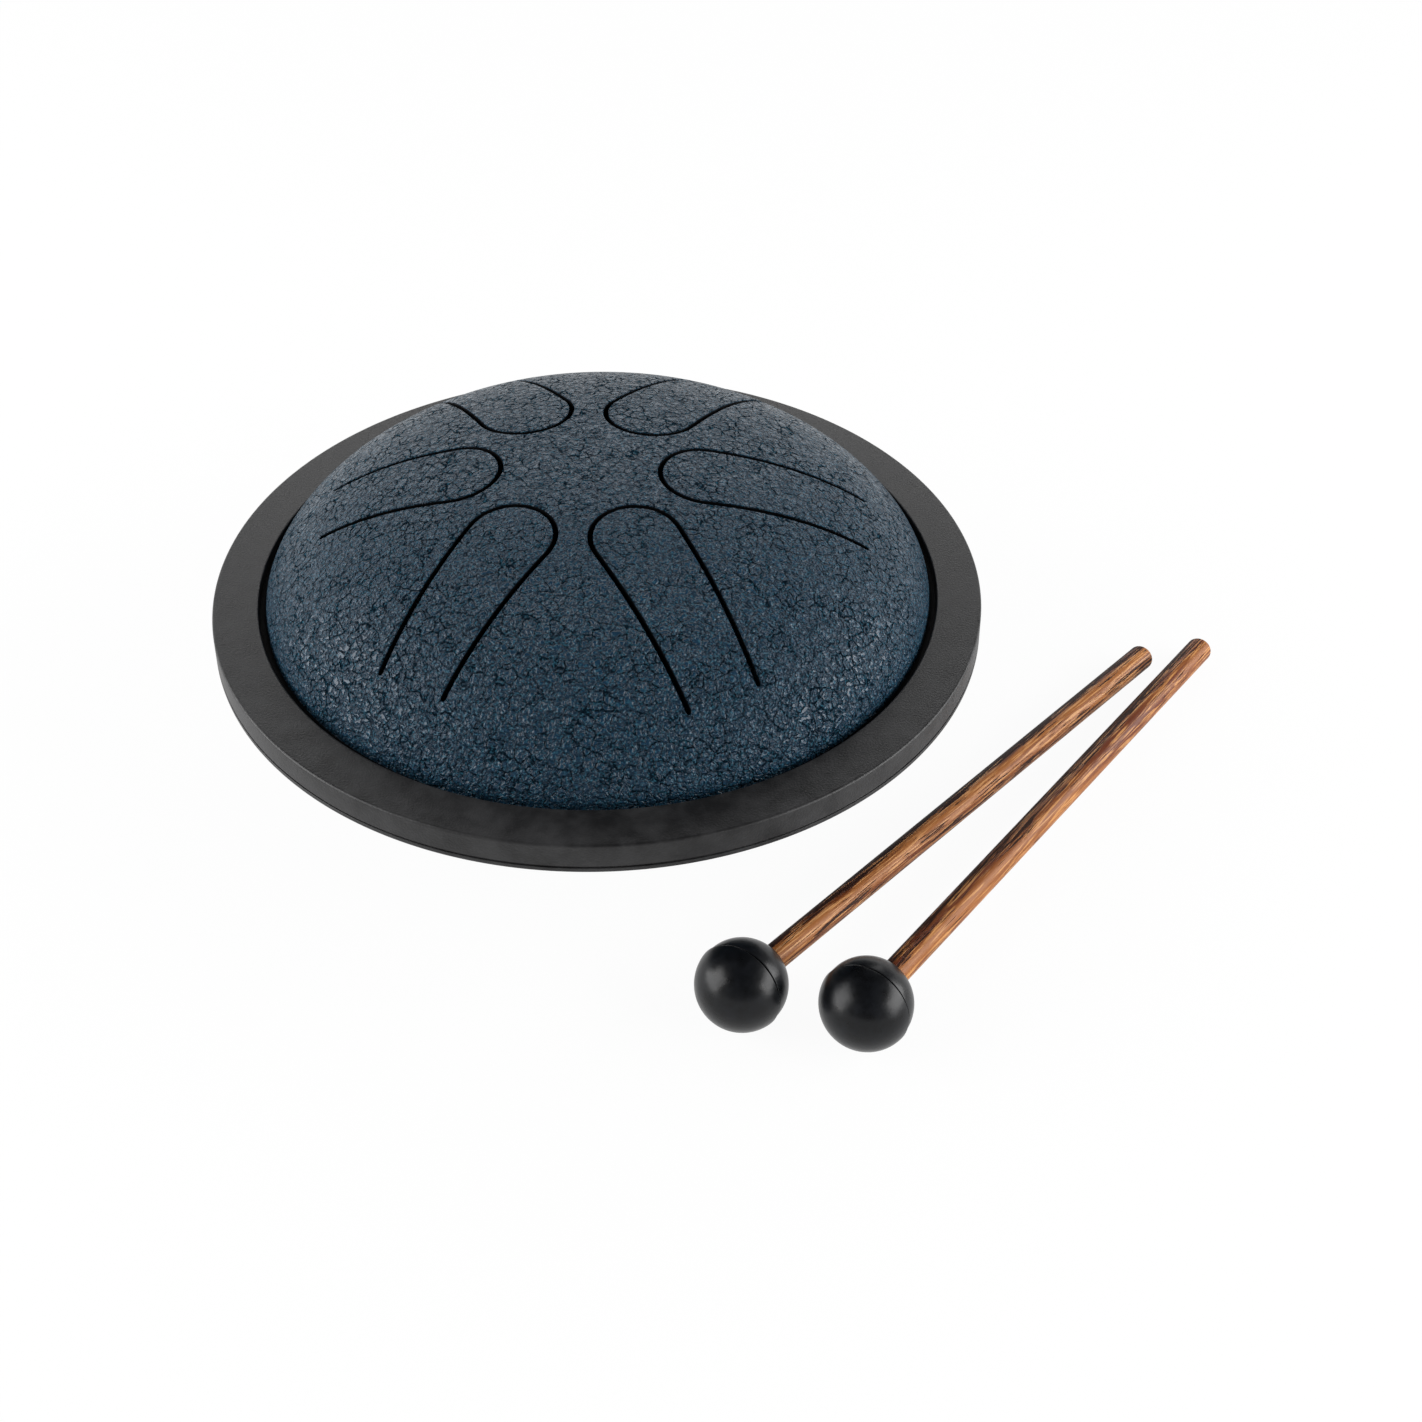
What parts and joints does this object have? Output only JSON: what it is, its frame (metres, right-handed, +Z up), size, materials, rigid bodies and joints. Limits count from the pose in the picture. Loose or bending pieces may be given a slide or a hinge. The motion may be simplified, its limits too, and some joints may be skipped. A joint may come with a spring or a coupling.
{
  "type": "steel tongue drum",
  "caption": "Domed steel shells joined at a rubber rim, tongues cut in the upper dome, rubber feet below, and ball-ended wooden mallets lying beside it.",
  "frame": {"origin": "on the drum's axis, in the plane of the surface that it stands on, midway between its feet", "axes": "+Z up along the drum's axis; the player sits at -Y, and the mallets lie to the player's right, on the +X side"},
  "size_m": [0.2509, 0.2045, 0.0764],
  "materials": {
    "wrinkle_coated_steel": "wrinkled powder coat, satin",
    "rim_rubber": "moulded, matt",
    "foot_rubber": "moulded, matt",
    "stick_wood": "turned, oiled",
    "ball_rubber": "moulded, satin"
  },
  "bodies": {
    "drum": {"top_shell": "wrinkle_coated_steel", "bottom_shell": "wrinkle_coated_steel", "rim_ring": "rim_rubber", "foot_front": "foot_rubber", "foot_back_left": "foot_rubber", "foot_back_right": "foot_rubber"},
    "mallet_left": {"mallet_left_stick": "stick_wood", "mallet_left_ball": "ball_rubber"},
    "mallet_right": {"mallet_right_stick": "stick_wood", "mallet_right_ball": "ball_rubber"}
  },
  "joints": [
    {"name": "mallet_left_lift", "type": "slide", "parent": "drum", "child": "mallet_left", "axis": [0.3442, -0.3627, 0.866], "range_m": [0, 0.12]},
    {"name": "mallet_right_lift", "type": "slide", "parent": "drum", "child": "mallet_right", "axis": [0.3442, -0.3627, 0.866], "range_m": [0, 0.12]}
  ]
}
